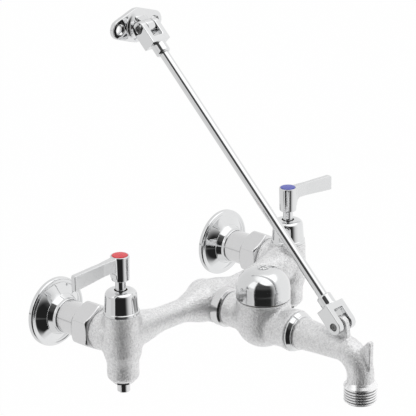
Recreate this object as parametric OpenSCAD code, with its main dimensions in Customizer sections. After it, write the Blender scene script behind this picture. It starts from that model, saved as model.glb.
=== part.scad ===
// Service sink faucet: wall mounted two-handle mixer with stops, vacuum breaker, hose spout and top brace.
// Frame: +X along the wall to the right, +Y into the wall, +Z up, origin on the wall between the inlets.
// Lengths are in millimetres. "Depth" is the distance in front of the wall, so depth = -Y.

/* [Inlets and wall] */
// distance between the two inlet axes
inlet_spacing = 203.2; // [200:0.1:206.4]
// radius of the wall flange rim
flange_r = 29.2; // [29:0.1:30.6]
// depth of the front end of the flange hub
flange_front = 17; // [16:0.1:17.6]
// radius of the sharp edge between the flange bell and its neck
flange_hub_r = 17.4; // [17.2:0.1:17.9]
// radius of the flange neck at its front end
flange_neck_r = 15; // [14.9:0.1:15.4]
// outer radius of the inlet coupling
coupling_r = 14; // [13.7:0.1:14.1]
// radius of the tapped inlet hole for half inch pipe
inlet_thread_r = 9.2; // [9:0.1:9.4]
// length of the tapped inlet hole
inlet_thread_len = 16; // [14:0.5:18]
// depth of the back of the coupling nut
nut_back = 37; // [36.4:0.1:37.4]
// depth of the front of the coupling nut
nut_front = 55; // [54.4:0.1:55.4]
// coupling nut size across its flats
nut_flats = 35; // [34.6:0.1:36]

/* [Valve bodies] */
// depth of the valve axes
valve_depth = 78; // [77.5:0.1:79]
// radius of the cast neck behind each valve
neck_r = 16.3; // [16:0.1:16.8]
// radius of the upper valve boss
boss_r = 15.1; // [14.8:0.1:15.6]
// height of the top face of the valve boss
boss_top = 20.2; // [19.8:0.1:20.4]
// radius of the lower valve barrel
barrel_r = 13; // [12.7:0.1:13.2]
// height of the bottom face of the barrel
barrel_bottom = -37.4; // [-38:0.1:-36.8]
// radius of the cartridge bore
cartridge_bore_r = 9.8; // [9.7:0.05:9.9]

/* [Arms and centre hub] */
// smallest radius of the arms
arm_r = 9.8; // [9.4:0.1:10.2]
// height of the arm axis where it meets the valves
arm_rise = 2; // [1:0.1:2.5]
// height of the outlet axis below the inlet axes
outlet_drop = 2; // [1.5:0.1:2.5]
// radius of the centre hub
hub_r = 16.1; // [15.8:0.1:16.4]
// length of the centre hub behind the valve axes
hub_behind = 17; // [16:0.5:18]
// length of the centre hub in front of the valve axes
hub_ahead = 15.4; // [15:0.1:15.8]
// radius of the water passages in the arms
arm_bore_r = 6.3; // [5.8:0.1:6.5]

/* [Vacuum breaker] */
// radius of the outlet union ring
union_r = 16.6; // [16.3:0.1:16.9]
// length of the outlet union ring
union_len = 10.1; // [9.6:0.1:10.6]
// radius of the machined tail of the vacuum breaker
tail_r = 14.8; // [14.5:0.1:15]
// length of the machined tail of the vacuum breaker
tail_len = 13.7; // [13:0.1:14]
// distance from the hub face to the vacuum breaker axis
breaker_reach = 44.8; // [44.3:0.1:45.3]
// radius of the vacuum breaker bulb
bulb_r = 22.5; // [22.2:0.1:22.8]
// height of the top of the vacuum breaker body
bulb_top = 17.3; // [17:0.1:17.4]
// radius of the outlet boss in front of the bulb
outlet_boss_r = 16.1; // [15.8:0.1:16.3]
// distance from the vacuum breaker axis to the front shoulder of its outlet boss
boss_reach = 35.6; // [35.2:0.1:36]
// radius of the polished dome
dome_r = 22.1; // [21.9:0.1:22.3]
// height of the lower edge of the dome
dome_base = 18.1; // [17.9:0.1:18.3]
// height where the straight side of the dome ends
dome_side = 24.5; // [24.2:0.1:26]
// height of the top of the dome
dome_top = 43.2; // [43:0.1:43.6]
// wall of the dome
dome_wall = 1.6; // [1.4:0.1:1.7]
// opening travel of the poppet
poppet_travel = 4.2; // [3:0.1:4.2]

/* [Spout] */
// outer radius of the spout nut
spout_nut_r = 16.4; // [16:0.1:16.7]
// spout outer radius at the nut
spout_start_r = 13.2; // [13.1:0.1:13.6]
// spout outer radius at the elbow
spout_r = 10.8; // [10.5:0.1:11]
// radius of the water passage in the spout
spout_bore_r = 7.5; // [7:0.1:7.8]
// distance from the outlet boss to the vertical hose outlet axis
spout_reach = 65.2; // [64.2:0.1:66.2]
// centre line radius of the elbow
elbow_r = 19; // [18.5:0.1:19.5]
// height of the end face of the hose thread
hose_end = -42.8; // [-43.2:0.1:-42.6]
// crest radius of the three quarter inch hose thread
hose_thread_r = 13.2; // [13.15:0.05:13.45]
// pitch of the hose thread
hose_pitch = 2.209; // [2.2:0.001:2.22]
// thickness of the pail hook plate
hook_t = 4.8; // [4.4:0.1:5.2]
// thickness of the brace lug on the spout
lug_t = 5.2; // [5:0.1:6]

/* [Brace] */
// distance of the lower brace pin behind the hose outlet axis
low_pin_behind = 19.8; // [19.4:0.1:20.5]
// height of the lower brace pin
low_pin_height = 17.5; // [17.4:0.1:18.2]
// depth of the upper brace pin
top_pin_depth = 14.5; // [14.2:0.1:15]
// height of the upper brace pin
top_pin_height = 220.6; // [220.2:0.1:221]
// radius of the brace rod
rod_r = 3.97; // [3.9:0.01:4]
// radius of the brace pins
pin_r = 3.1; // [3:0.05:3.15]
// width of the clevis
clevis_w = 20; // [19.6:0.1:20.4]
// width of the clevis slot
clevis_slot = 9.6; // [9.4:0.1:10]
// height of the clevis
clevis_t = 13; // [12.6:0.1:13.2]
// half length of the wall bracket
bracket_half = 28.2; // [27.8:0.1:29]
// half height of the wall bracket
bracket_mid_r = 14.3; // [14:0.1:14.6]
// thickness of the wall bracket
bracket_t = 4; // [3.6:0.1:4.4]
// distance between the two bracket screw holes
bracket_spacing = 40; // [39:0.5:41]
// radius of the bracket screw holes
bracket_hole_r = 3; // [2.7:0.1:3.2]
// width of the lug on the wall bracket
bracket_lug_w = 8.6; // [8.2:0.1:8.7]

/* [Handles and bonnets] */
// length of each handle from its axis
handle_len = 51; // [48:0.5:53]
// thickness of the handle blade
blade_t = 4.5; // [4:0.1:5]
// height of the lower end of the handle hub
handle_bottom = 48.8; // [48.6:0.1:49.2]
// height of the upper end of the handle hub
handle_top = 69.4; // [69:0.1:70]
// radius of the handle hub at its top
handle_hub_r = 7.6; // [7.4:0.05:7.75]
// turn of the cold handle towards the front in the stored pose, in degrees
cold_turn = 5; // [0:1:15]
// radius of the bonnet at its foot
bonnet_foot_r = 14.1; // [13.8:0.1:14.4]
// radius of the bonnet at its shoulder
bonnet_top_r = 12.6; // [12.4:0.1:12.9]
// height of the top of the bonnet
bonnet_top = 40.3; // [39.8:0.1:40.8]
// radius of the valve stem
stem_r = 4.25; // [4.15:0.05:4.35]

/* [Stops] */
// radius of the stop plug flange
plug_r = 9.7; // [9.4:0.1:10]
// radius of the stop screw
stop_r = 5.2; // [5:0.05:5.2]
// height of the lower end of the open stop screw
stop_bottom = -47.6; // [-48:0.1:-47.4]
// closing travel of the stop
stop_travel = 7; // [5:0.5:7]

/* [Fits] */
// radial clearance of turning and sliding parts
run_gap = 0.08; // [0.05:0.01:0.1]
// radial clearance of screwed and fixed joints
fix_gap = 0.1; // [0.05:0.01:0.15]
// space between pieces of different moving bodies
body_gap = 0.3; // [0.25:0.05:0.35]

/* [Hidden] */
$fn = 72;
hot_x = -inlet_spacing / 2;
cold_x = inlet_spacing / 2;
outlet_z = -outlet_drop;
hub_back = valve_depth - hub_behind;
hub_front = valve_depth + hub_ahead;
union_front = hub_front + union_len;
tail_back = union_front + body_gap;
tail_front = tail_back + tail_len;
breaker_depth = hub_front + breaker_reach;
outlet_front = breaker_depth + boss_reach;
nut_back_d = outlet_front + 0.2;
outlet_depth = outlet_front + spout_reach;
low_pin_depth = outlet_depth - low_pin_behind;
socket_end = outlet_front - 12.8;
socket_r = 11.5;
tail_fit_r = socket_r - fix_gap;
nut_lip = nut_back + 3.5;
collar_front = nut_lip + 3;
neck_front = collar_front + 2;
seat_floor = -5;
stop_seat = -11;
chamber_r = 7.5;
pass_r = 4.5;
arm_tilt = atan((arm_rise + outlet_drop) / (inlet_spacing / 2));
arm_len = sqrt(pow(inlet_spacing / 2, 2) + pow(arm_rise + outlet_drop, 2));
bend_depth = outlet_depth - elbow_r;
bend_z = outlet_z - elbow_r;
spigot_r = 13.4;
washer_top = stop_seat - stop_travel - body_gap;
washer_bottom = washer_top - 8.2;
screw_tip = washer_top - 5.2 - body_gap;
breaker_floor = -4;
seal_bottom = breaker_floor + body_gap;
poppet_bottom = seal_bottom + 2;
poppet_top = poppet_bottom + 2.3;
vent_top = poppet_top + 1.8;
insert_bottom = vent_top + poppet_travel + body_gap;
insert_r = 15.9;
bulb_mid_r = sqrt(bulb_r * bulb_r - outlet_drop * outlet_drop);
nut_step = 4.5;
nut_len = 6.1;
nut_thread_r = 13.2;
nut_nose_r = 14.6;
ring_back = outlet_front + 3.4;
ring_r = 11.8;
gasket_front = hub_front + 6.6;
tube_r = 10.95;
tube_front = gasket_front + 12.6;
rod_run = low_pin_depth - top_pin_depth;
rod_rise = top_pin_height - low_pin_height;
rod_angle = atan2(rod_rise, rod_run);
rod_span = sqrt(rod_run * rod_run + rod_rise * rod_rise);
cast_c = [0.78, 0.79, 0.80];
polish_c = [0.88, 0.89, 0.90];
turned_c = [0.82, 0.83, 0.84];
rubber_c = [0.10, 0.10, 0.11];
ceramic_c = [0.93, 0.92, 0.88];
brass_c = [0.80, 0.66, 0.36];

// points of a circular arc in a profile
function arc(cx, cy, r, a0, a1, n) = [for (i = [0:n]) [cx + r * cos(a0 + (a1 - a0) * i / n),
    cy + r * sin(a0 + (a1 - a0) * i / n)]];

// smooth step between two values
function ease(t) = t * t * (3 - 2 * t);

// straight bar along the depth direction
module bar_y(d0, d1, r) {
    translate([0, -d0, 0]) rotate([90, 0, 0]) cylinder(h = d1 - d0, r = r);
}

// solid turned about the depth direction from [radius, depth] points
module turned_y(points) {
    rotate([90, 0, 0]) rotate_extrude() polygon(points);
}

// solid turned about the vertical from [radius, height] points
module turned_z(points) {
    rotate_extrude() polygon(points);
}

// upright bar
module bar_z(z0, z1, r) {
    translate([0, 0, z0]) cylinder(h = z1 - z0, r = r);
}

// bar along X
module bar_x(x0, x1, r) {
    translate([x0, 0, 0]) rotate([0, 90, 0]) cylinder(h = x1 - x0, r = r);
}

// places children on a valve axis
module at_valve(x) {
    translate([x, -valve_depth, 0]) children();
}

// places children on the outlet axis
module at_outlet() {
    translate([0, 0, outlet_z]) children();
}

// places children on the vacuum breaker axis
module at_breaker() {
    translate([0, -breaker_depth, 0]) children();
}

// plate standing in the YZ plane from [depth, height] points
module side_plate(points, t) {
    translate([t / 2, 0, 0]) rotate([90, 0, -90]) linear_extrude(height = t) polygon(points);
}

// outside of one valve: neck, barrel and boss
module valve_outside(x) {
    translate([x, 0, 0]) turned_y([[0, neck_front], [15.5, neck_front], [15.5, nut_front + 0.4],
        [neck_r, nut_front + 0.9], [neck_r, valve_depth - 8], [neck_r - 0.5, valve_depth - 5.5],
        [14.9, valve_depth - 3], [13.2, valve_depth - 0.5], [10.5, valve_depth + 1.5], [0, valve_depth + 2.5]]);
    at_valve(x) turned_z(concat([[0, barrel_bottom], [barrel_r - 3, barrel_bottom],
        [barrel_r - 0.6, barrel_bottom + 2.3], [barrel_r, barrel_bottom + 4], [barrel_r, -23]],
        [for (i = [1:8]) [barrel_r + (boss_r + 0.5 - barrel_r) * ease(i / 8), -23 + 11 * i / 8]],
        [[boss_r + 0.5, 2], [boss_r, 8], [boss_r, boss_top - 0.7], [boss_r - 0.7, boss_top], [0, boss_top]]));
}

// outside of one arm, drawn from the hub outwards along its own axis
module arm_outside() {
    rotate([0, 90, 0]) rotate_extrude() polygon(concat([[0, 0], [hub_r, 0]],
        [for (i = [0:10]) [hub_r + (arm_r - hub_r) * ease(i / 10), 7 + 29 * i / 10]],
        [for (i = [1:10]) [arm_r + (boss_r - 0.6 - arm_r) * ease(i / 10), 54 + 36 * i / 10]],
        [[boss_r - 0.6, arm_len], [0, arm_len]]));
}

// places children along an arm, side -1 hot and 1 cold
module along_arm(side) {
    translate([0, -valve_depth, outlet_z]) mirror([side < 0 ? 1 : 0, 0, 0]) rotate([0, -arm_tilt,
        0]) children();
}

// water passages of one valve
module valve_inside(x) {
    translate([x, 0, 0]) {
        bar_y(neck_front - 1, valve_depth - 18, 8.5);
        translate([0, 22 - valve_depth, 0]) rotate([90 + 48.2, 0, 0]) cylinder(h = 25.5, r = pass_r);
    }
    at_valve(x) {
        bar_z(seat_floor, boss_top + 1, cartridge_bore_r);
        bar_z(stop_seat - 1, seat_floor + 1, 4.6);
        bar_z(barrel_bottom - 1, stop_seat, chamber_r);
    }
}

module body_casting() {
    color(cast_c) difference() {
        union() {
            valve_outside(hot_x);
            valve_outside(cold_x);
            along_arm(-1) arm_outside();
            along_arm(1) arm_outside();
            at_outlet() turned_y(concat([[0, hub_back]], arc(hub_r - 8, hub_back + 8, 8, -90, 0, 6),
                [[hub_r, hub_front - 1.6], [hub_r - 1.8, hub_front], [spigot_r, hub_front],
                [spigot_r, hub_front + 5], [0, hub_front + 5]]));
        }
        valve_inside(hot_x);
        valve_inside(cold_x);
        along_arm(-1) bar_x(0, arm_len - 6, arm_bore_r);
        along_arm(1) bar_x(0, arm_len - 6, arm_bore_r);
        at_outlet() bar_y(hub_back + 7, hub_front + 6, 9);
        at_outlet() turned_y([[spigot_r, hub_front], [hub_r + 8, hub_front], [hub_r + 8, hub_front + 9],
            [spigot_r, hub_front + 9]]);
    }
}

module flange(x) {
    color(polish_c) translate([x, 0, 0]) turned_y(concat(
        [[26.6, 0], [flange_r - 0.3, 0], [flange_r, 0.4], [flange_r, 2.8], [flange_r - 0.4, 3.7],
        [flange_r - 1.1, 4.2], [flange_r - 1.9, 4.3], [flange_r - 2.7, 4.05], [flange_r - 3.6, 3.75]],
        [for (i = [0:7]) [24.8 + (flange_hub_r - 24.8) * i / 7, 3.9 + 4.27 * i / 7 + 1.2 * pow(i / 7, 2)]],
        [[flange_hub_r, 9.8], [flange_hub_r - 0.3, 10.1], [flange_neck_r, flange_front - 2.5],
        [flange_neck_r - 0.2, flange_front - 0.5], [flange_neck_r - 0.5, flange_front],
        [coupling_r + fix_gap, flange_front], [coupling_r + fix_gap, 10.4], [16.2, 8.6], [18, 6.6],
        [22.6, 3], [26.2, 2.1]]));
}

module flange_hot() { flange(hot_x); }

module flange_cold() { flange(cold_x); }

module coupling(x) {
    color(turned_c) translate([x, 0, 0]) difference() {
        turned_y([[0, 0], [coupling_r, 0], [coupling_r, nut_lip], [15.2, nut_lip], [15.2, collar_front],
            [0, collar_front]]);
        bar_y(-1, inlet_thread_len, inlet_thread_r);
        bar_y(0, collar_front + 1, 8);
    }
}

module coupling_hot() { coupling(hot_x); }

module coupling_cold() { coupling(cold_x); }

module coupling_nut(x) {
    color(turned_c) translate([x, 0, 0]) difference() {
        intersection() {
            translate([0, -nut_back, 0]) rotate([90, 30, 0]) cylinder(h = nut_front - nut_back,
                r = nut_flats / sqrt(3), $fn = 6);
            turned_y([[0, nut_back], [nut_flats / 2 - 0.4, nut_back], [nut_flats / 2 + 2.1, nut_back + 1.6],
                [nut_flats / 2 + 2.1, nut_front - 1.6], [nut_flats / 2 - 0.4, nut_front], [0, nut_front]]);
        }
        bar_y(nut_back - 1, nut_lip, coupling_r + fix_gap);
        bar_y(nut_lip, nut_front + 1, 15.5 + fix_gap);
    }
}

module coupling_nut_hot() { coupling_nut(hot_x); }

module coupling_nut_cold() { coupling_nut(cold_x); }

module coupling_washer(x) {
    color(rubber_c) translate([x, 0, 0]) turned_y([[8.5, collar_front], [15.2, collar_front], [15.2,
        neck_front], [8.5, neck_front]]);
}

module coupling_washer_hot() { coupling_washer(hot_x); }

module coupling_washer_cold() { coupling_washer(cold_x); }

module cartridge(x) {
    color(brass_c) at_valve(x) difference() {
        turned_z([[0, -4.8], [cartridge_bore_r - fix_gap, -4.8], [cartridge_bore_r - fix_gap, boss_top],
            [12, boss_top], [12, boss_top + 2], [10.4, boss_top + 2], [10.4, 33], [8.6, 35], [0, 35]]);
        bar_z(-6, 7.5, 8);
        bar_z(7, 36, stem_r + run_gap);
        translate([-11, -4.5, 2.8]) cube([22, 9, 4.4]);
    }
}

module cartridge_hot() { cartridge(hot_x); }

module cartridge_cold() { cartridge(cold_x); }

module seat_seal(x) {
    color(rubber_c) at_valve(x) turned_z([[4.8, seat_floor], [7.8, seat_floor], [7.8, -3], [4.8, -3]]);
}

module seat_seal_hot() { seat_seal(hot_x); }

module seat_seal_cold() { seat_seal(cold_x); }

// ceramic disc with two water ports at the given turn
module disc(x, z0, z1, r, turn) {
    color(ceramic_c) at_valve(x) rotate([0, 0, turn]) difference() {
        bar_z(z0, z1, r);
        for (s = [-1, 1]) {
            translate([4.1 * s, 0, 0]) bar_z(z0 - 1, z1 + 1, 2.5);
        }
    }
}

module fixed_disc_hot() { disc(hot_x, -3, -0.3, 7.9, 90); }

module fixed_disc_cold() { disc(cold_x, -3, -0.3, 7.9, 90); }

module moving_disc_hot() { disc(hot_x, 0, 2.5, 7.7, 0); }

module moving_disc_cold() { disc(cold_x, 0, 2.5, 7.7, -cold_turn); }

module stem(x, turn) {
    color(polish_c) at_valve(x) rotate([0, 0, turn]) difference() {
        union() {
            intersection() {
                bar_z(2.5, 7.2, 7.7);
                translate([-4, -9, 0]) cube([8, 18, 8]);
            }
            turned_z([[0, 7], [stem_r, 7], [stem_r, 12], [3.3, 12], [3.3, 14.2], [stem_r, 14.2],
                [stem_r, handle_bottom], [3.8, handle_bottom], [3.8, 60], [0, 60]]);
        }
        bar_z(49, 61, 2);
    }
}

module stem_hot() { stem(hot_x, 0); }

module stem_cold() { stem(cold_x, -cold_turn); }

module stem_ring(x) {
    color(rubber_c) at_valve(x) turned_z([[3.3, 12], [stem_r + 0.04, 12], [stem_r + 0.04, 14.2], [3.3, 14.2]]);
}

module stem_ring_hot() { stem_ring(hot_x); }

module stem_ring_cold() { stem_ring(cold_x); }

module bonnet(x) {
    color(polish_c) at_valve(x) turned_z(concat(
        [[12.2, boss_top], [bonnet_foot_r + 0.3, boss_top], [bonnet_foot_r + 0.6, boss_top + 0.4],
        [bonnet_foot_r + 0.5, boss_top + 2.3], [bonnet_foot_r + 0.2, boss_top + 2.7],
        [bonnet_foot_r - 0.3, boss_top + 2.9]],
        [[bonnet_top_r + 0.3, bonnet_top - 4.4], [bonnet_top_r - 0.2, bonnet_top - 2.4],
        [bonnet_top_r - 1.6, bonnet_top - 0.9],
        [bonnet_top_r - 3.6, bonnet_top - 0.2], [bonnet_top_r - 4.8, bonnet_top], [5.3, bonnet_top], [5.3,
        35.5],
        [10.5, 35.5], [10.5, boss_top + 2.2], [12.2, boss_top + 2.2]]));
}

module bonnet_hot() { bonnet(hot_x); }

module bonnet_cold() { bonnet(cold_x); }

// lever handle with its blade along +X before turning
module handle(x, turn) {
    color(polish_c) at_valve(x) rotate([0, 0, turn]) difference() {
        union() {
            turned_z([[0, handle_bottom], [6.9, handle_bottom], [7.25, handle_bottom + 0.4],
                [handle_hub_r, handle_top - 0.4], [handle_hub_r - 0.3, handle_top], [0, handle_top]]);
            intersection() {
                translate([0, blade_t, 0]) rotate([90, 0, 0]) linear_extrude(height = 2 * blade_t)
                    polygon(concat([[0, handle_bottom + 3], [handle_hub_r, handle_bottom + 3]],
                    arc(handle_hub_r + 5.1, 53.2, 5, 180, 97, 7),
                    [[handle_len, 54.9]], arc(handle_len - 1.6, 66.1, 1.6, 0, 88, 4), [[0, handle_top - 0.5]]));
                linear_extrude(height = handle_top) polygon([[-1, -3.7], [5, -3.7], [20, -blade_t / 2],
                    [handle_len + 1, -blade_t / 2], [handle_len + 1, blade_t / 2], [20, blade_t / 2],
                    [5, 3.7], [-1, 3.7]]);
            }
        }
        bar_z(handle_bottom - 1, 60.2, 3.85);
        bar_z(60, 61, 2.3);
        bar_z(61, handle_top + 1, 6.4);
    }
}

module handle_hot() { handle(hot_x, 180); }

module handle_cold() { handle(cold_x, -cold_turn); }

module handle_screw(x) {
    color(polish_c) at_valve(x) difference() {
        union() {
            bar_z(51, 61, 1.95);
            bar_z(61, 63.6, 3.6);
        }
        translate([-4, -0.5, 62.6]) cube([8, 1, 2]);
    }
}

module handle_screw_hot() { handle_screw(hot_x); }

module handle_screw_cold() { handle_screw(cold_x); }

module index_button(x, shade) {
    color(shade) at_valve(x) turned_z([[0, 66.4], [6.35, 66.4], [6.35, handle_top + 0.1], [5.6,
        handle_top + 0.35], [0, handle_top + 0.6]]);
}

module index_button_hot() { index_button(hot_x, [0.90, 0.22, 0.26]); }

module index_button_cold() { index_button(cold_x, [0.33, 0.35, 0.72]); }

module stop_plug(x) {
    color(turned_c) at_valve(x) difference() {
        union() {
            intersection() {
                rotate([0, 0, -47]) translate([0, 0, barrel_bottom - 2]) cylinder(h = 2, r = plug_r, $fn = 6);
                turned_z([[0, barrel_bottom - 2], [plug_r - 1.5, barrel_bottom - 2], [plug_r + 0.2,
                    barrel_bottom - 1.1], [plug_r + 0.2, barrel_bottom], [0, barrel_bottom]]);
            }
            bar_z(barrel_bottom - 0.5, -30, chamber_r - fix_gap);
        }
        bar_z(barrel_bottom - 3, -29, stop_r + run_gap);
    }
}

module stop_plug_hot() { stop_plug(hot_x); }

module stop_plug_cold() { stop_plug(cold_x); }

module stop_screw(x) {
    color(turned_c) at_valve(x) difference() {
        turned_z([[0, stop_bottom], [stop_r - 0.5, stop_bottom], [stop_r, stop_bottom + 0.6],
            [stop_r, washer_bottom - 1], [3, washer_bottom - 1], [3, screw_tip], [0, screw_tip]]);
        translate([-6, -0.6, stop_bottom - 1]) cube([12, 1.2, 2.8]);
    }
}

module stop_screw_hot() { stop_screw(hot_x); }

module stop_screw_cold() { stop_screw(cold_x); }

module stop_washer(x) {
    color(rubber_c) at_valve(x) turned_z([[0, washer_top - 5.2], [3.3, washer_top - 5.2], [3.3, washer_bottom],
        [6.4, washer_bottom], [6.4, washer_top], [0, washer_top]]);
}

module stop_washer_hot() { stop_washer(hot_x); }

module stop_washer_cold() { stop_washer(cold_x); }

module union_ring() {
    color(turned_c) at_outlet() turned_y([[spigot_r + fix_gap, hub_front], [hub_r - 1.8, hub_front],
        [union_r, hub_front + 1.4], [union_r, union_front - 1.5], [union_r - 1.8, union_front],
        [tube_r + 0.15, union_front], [tube_r + 0.15, union_front - 2.3], [spigot_r + fix_gap,
        union_front - 2.3]]);
}

module union_gasket() {
    color(rubber_c) at_outlet() turned_y([[9, hub_front + 5], [spigot_r - 0.2, hub_front + 5],
        [spigot_r - 0.2, gasket_front], [9, gasket_front]]);
}

module union_tail() {
    color(turned_c) at_outlet() turned_y([[7.5, gasket_front], [spigot_r - 0.2, gasket_front],
        [spigot_r - 0.2, union_front - 2.4], [tube_r, union_front - 2.4], [tube_r, tube_front], [7.5,
        tube_front]]);
}

module breaker_body() {
    color(cast_c) difference() {
        union() {
            at_outlet() turned_y([[0, tail_back], [tail_r - 0.9, tail_back], [tail_r, tail_back + 0.8],
                [tail_r, tail_front],
                [tail_r + 1.6, tail_front + 3], [tail_r + 1.6, breaker_depth], [0, breaker_depth]]);
            intersection() {
                translate([0, -breaker_depth, outlet_z]) sphere(r = bulb_r);
                translate([-bulb_r - 2, -breaker_depth - bulb_r - 2, -bulb_r - 6])
                    cube([2 * bulb_r + 4, 2 * bulb_r + 4, bulb_r + 6]);
            }
            at_breaker() turned_z([[0, 0], [bulb_mid_r, 0], [bulb_r - 0.4, bulb_top - 0.8],
                [bulb_r - 1.2, bulb_top], [0, bulb_top]]);
            at_outlet() turned_y([[0, breaker_depth], [outlet_boss_r + 2, breaker_depth],
                [outlet_boss_r + 0.6, outlet_front - 15.8], [outlet_boss_r + 0.1, outlet_front - 10.8],
                [outlet_boss_r + 0.4, outlet_front - 6.8], [outlet_boss_r + 1, outlet_front - 2.8],
                [outlet_boss_r + 1, outlet_front - 0.8], [outlet_boss_r + 0.3, outlet_front],
                [nut_thread_r, outlet_front], [nut_thread_r, outlet_front + 2.8], [0, outlet_front + 2.8]]);
        }
        at_outlet() {
            bar_y(tail_back - 1.8, tube_front + 0.2, tube_r + fix_gap);
            bar_y(tube_front - 1, tube_front + 4.4, 7);
        }
        translate([0, -tube_front - 1.4, outlet_z - 1.4]) rotate([90 + 45, 0, 0]) cylinder(h = 13, r = 4.6);
        translate([0, 0, outlet_z - 9.8]) bar_y(tube_front + 8.9, breaker_depth, 4.3);
        at_breaker() {
            bar_z(-16.8, breaker_floor + 1, 7);
            bar_z(breaker_floor, insert_bottom, 14);
            bar_z(insert_bottom, bulb_top + 1, insert_r + fix_gap);
        }
        at_outlet() {
            bar_y(breaker_depth + 10.8, outlet_front + 4.2, spout_bore_r);
            bar_y(socket_end, outlet_front + 4.2, socket_r);
        }
    }
}

module breaker_insert() {
    post_top = dome_top - dome_wall - 0.3;
    plate_top = bulb_top + 2.2;
    color(brass_c) at_breaker() difference() {
        turned_z([[0, 9], [4.6, 9], [4.6, 13], [8.5, 13], [8.5, insert_bottom], [insert_r, insert_bottom],
            [insert_r, bulb_top], [18.5, bulb_top], [18.5, 24], [16.6, 24], [16.6, plate_top], [4.6,
            plate_top], [4.6, post_top], [0, post_top]]);
        bar_z(8, 18, 2.5 + run_gap);
        bar_z(30, dome_top, 2.05);
        for (a = [0:60:300]) {
            rotate([0, 0, a]) translate([6.6, 0, 0]) bar_z(12, plate_top + 1, 1.4);
        }
    }
}

module breaker_poppet() {
    color(brass_c) at_breaker() turned_z([[0, poppet_bottom], [11, poppet_bottom], [11, poppet_top], [2.5,
        poppet_top],
        [2.5, poppet_top + 12.6], [0, poppet_top + 12.6]]);
}

module poppet_seal() {
    color(rubber_c) at_breaker() bar_z(seal_bottom, poppet_bottom, 10.6);
}

module vent_washer() {
    color(rubber_c) at_breaker() turned_z([[2.6, poppet_top], [10.6, poppet_top], [10.6, vent_top], [2.6,
        vent_top]]);
}

// profile of the dome, shrunk by the wall for its inside
function dome_line(r, z0, z1, n) = [for (i = [0:n]) [r * pow(cos(90 * i / n), 0.87),
    z0 + (z1 - z0) * pow(sin(90 * i / n), 0.87)]];

module breaker_dome() {
    color(polish_c) at_breaker() difference() {
        turned_z(concat([[0, dome_base], [dome_r - 0.3, dome_base], [dome_r, dome_base + 0.3]],
            dome_line(dome_r, dome_side, dome_top, 14)));
        turned_z(concat([[0, dome_base - 1], [dome_r - dome_wall, dome_base - 1]],
            [for (p = dome_line(dome_r - dome_wall, dome_side - 0.4, dome_top - dome_wall, 14)) [p[0],
            min(p[1], dome_top - dome_wall - 0.3)]],
            [[0, dome_top - dome_wall - 0.3]]));
        bar_z(30, dome_top + 1, 2.2);
        bar_z(dome_top - 0.7, dome_top + 1, 5.2);
        translate([0, 0, 20.4]) rotate([0, 0, 167]) bar_x(15, 25, 1.6);
    }
}

module dome_screw() {
    color(polish_c) at_breaker() difference() {
        union() {
            bar_z(31, dome_top - 0.7, 2);
            turned_z([[0, dome_top - 0.7], [4.4, dome_top - 0.7], [4.4, dome_top + 0.2], [3.9,
                dome_top + 0.8], [0, dome_top + 0.8]]);
        }
        translate([-5, -0.6, dome_top]) cube([10, 1.2, 2]);
        translate([-0.6, -5, dome_top]) cube([1.2, 10, 2]);
    }
}

module dome_set_screw() {
    color(turned_c) translate([0, -breaker_depth, 20.4]) rotate([0, 0, 167]) difference() {
        bar_x(18.5, dome_r + 0.4, 1.5);
        bar_x(dome_r - 0.8, dome_r + 1, 0.8);
    }
}

module spout_nut() {
    color(polish_c) at_outlet() turned_y([[nut_thread_r + fix_gap, nut_back_d], [spout_nut_r - 0.3, nut_back_d],
        [spout_nut_r, nut_back_d + 0.3], [spout_nut_r, nut_back_d + 1.4],
        [spout_nut_r - 0.2, nut_back_d + 1.7], [nut_nose_r + 0.2, nut_back_d + nut_step],
        [nut_nose_r - 0.3, nut_back_d + nut_step + 0.2], [nut_nose_r - 0.3, nut_back_d + nut_step + 0.5],
        [nut_nose_r, nut_back_d + nut_step + 0.8], [nut_nose_r - 0.2, nut_back_d + nut_len - 0.4],
        [nut_nose_r - 0.7, nut_back_d + nut_len], [12.9, nut_back_d + nut_len],
        [12.9, nut_back_d + nut_len - 1.2], [nut_thread_r + fix_gap, nut_back_d + nut_len - 1.2]]);
}

module split_ring() {
    color(turned_c) at_outlet() difference() {
        turned_y([[ring_r, ring_back], [nut_thread_r, ring_back], [nut_thread_r, ring_back + 1.6], [ring_r,
            ring_back + 1.6]]);
        translate([-1, -ring_back - 2.8, ring_r - 1.8]) cube([2, 4, 5]);
    }
}

module spout_ring() {
    color(rubber_c) at_outlet() turned_y([[9.7, socket_end + 6], [socket_r, socket_end + 6], [socket_r,
        socket_end + 8.4], [9.7, socket_end + 8.4]]);
}

// one rounded tab around a pin with straight flanks down to its foot
module tab(pin_d, pin_z, r, foot_d0, foot_d1, foot_z, t) {
    side_plate([[pin_d - r, pin_z], [pin_d - r * 0.7, pin_z + r * 0.714], [pin_d + r * 0.7,
        pin_z + r * 0.714], [pin_d + r, pin_z],
        [foot_d1, foot_z], [foot_d0, foot_z]], t);
    translate([0, -pin_d, pin_z]) bar_x(-t / 2, t / 2, r);
}

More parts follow.
